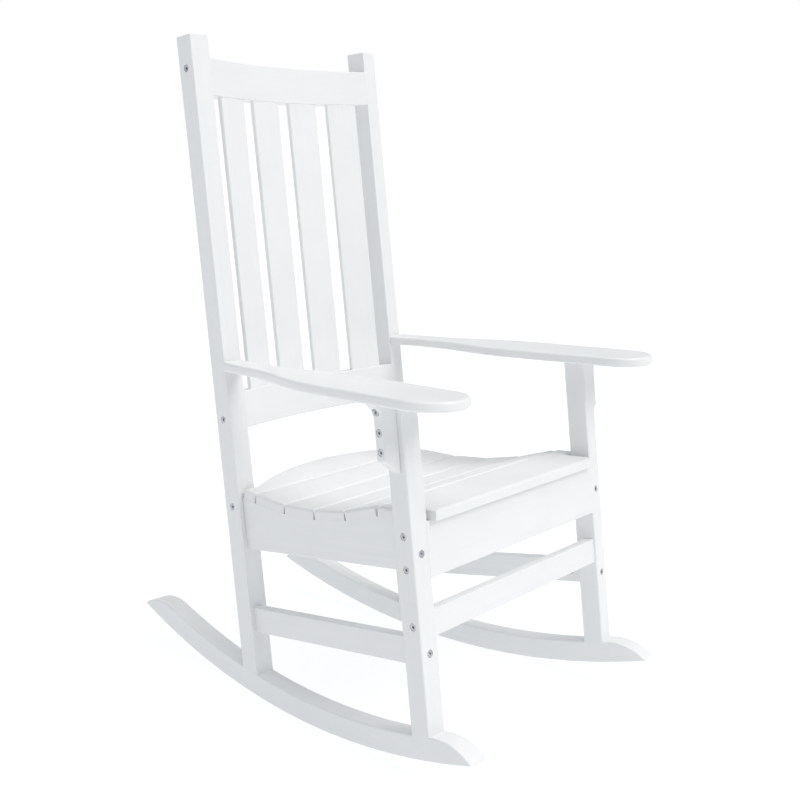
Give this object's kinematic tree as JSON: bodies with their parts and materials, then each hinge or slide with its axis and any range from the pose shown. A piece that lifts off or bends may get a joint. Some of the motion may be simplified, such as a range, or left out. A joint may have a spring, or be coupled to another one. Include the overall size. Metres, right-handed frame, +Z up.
{
  "type": "rocking chair",
  "caption": "White painted porch rocking chair with toed-in side frames on curved rockers, a slatted seat and back, a bowed crest rail and broad flat arms on brackets.",
  "frame": {"origin": "on the floor, at the centre of the chair's overall box in plan", "axes": "+Z up, -Y the way the sitter faces, -X the sitter's right; the chair stands at its balance attitude on a level floor"},
  "size_m": [0.696, 0.8282, 1.1327],
  "materials": {
    "white_paint": "satin white paint over smooth hardwood, softly rounded edges",
    "zinc_steel": "zinc-plated socket-head bolts and barrel nuts",
    "bare_wood": "unfinished beech dowel, hidden inside the joints"
  },
  "bodies": {
    "root": {"right_rocker": "white_paint", "left_rocker": "white_paint", "right_front_leg": "white_paint", "left_front_leg": "white_paint", "right_rear_post": "white_paint", "left_rear_post": "white_paint", "right_side_rail": "white_paint", "left_side_rail": "white_paint", "right_side_stretcher": "white_paint", "left_side_stretcher": "white_paint", "right_arm": "white_paint", "left_arm": "white_paint", "right_arm_bracket": "white_paint", "left_arm_bracket": "white_paint", "front_apron": "white_paint", "front_stretcher": "white_paint", "rear_seat_rail": "white_paint", "seat_slat_1": "white_paint", "seat_slat_2": "white_paint", "seat_slat_3": "white_paint", "seat_slat_4": "white_paint", "seat_slat_5": "white_paint", "seat_slat_6": "white_paint", "lower_back_rail": "white_paint", "crest_rail": "white_paint", "back_slat_1": "white_paint", "back_slat_2": "white_paint", "back_slat_3": "white_paint", "back_slat_4": "white_paint", "frame_bolts": "zinc_steel", "barrel_nuts": "zinc_steel", "bracket_screws": "zinc_steel", "rocker_screws": "zinc_steel", "seat_dowels": "bare_wood"}
  },
  "joints": []
}
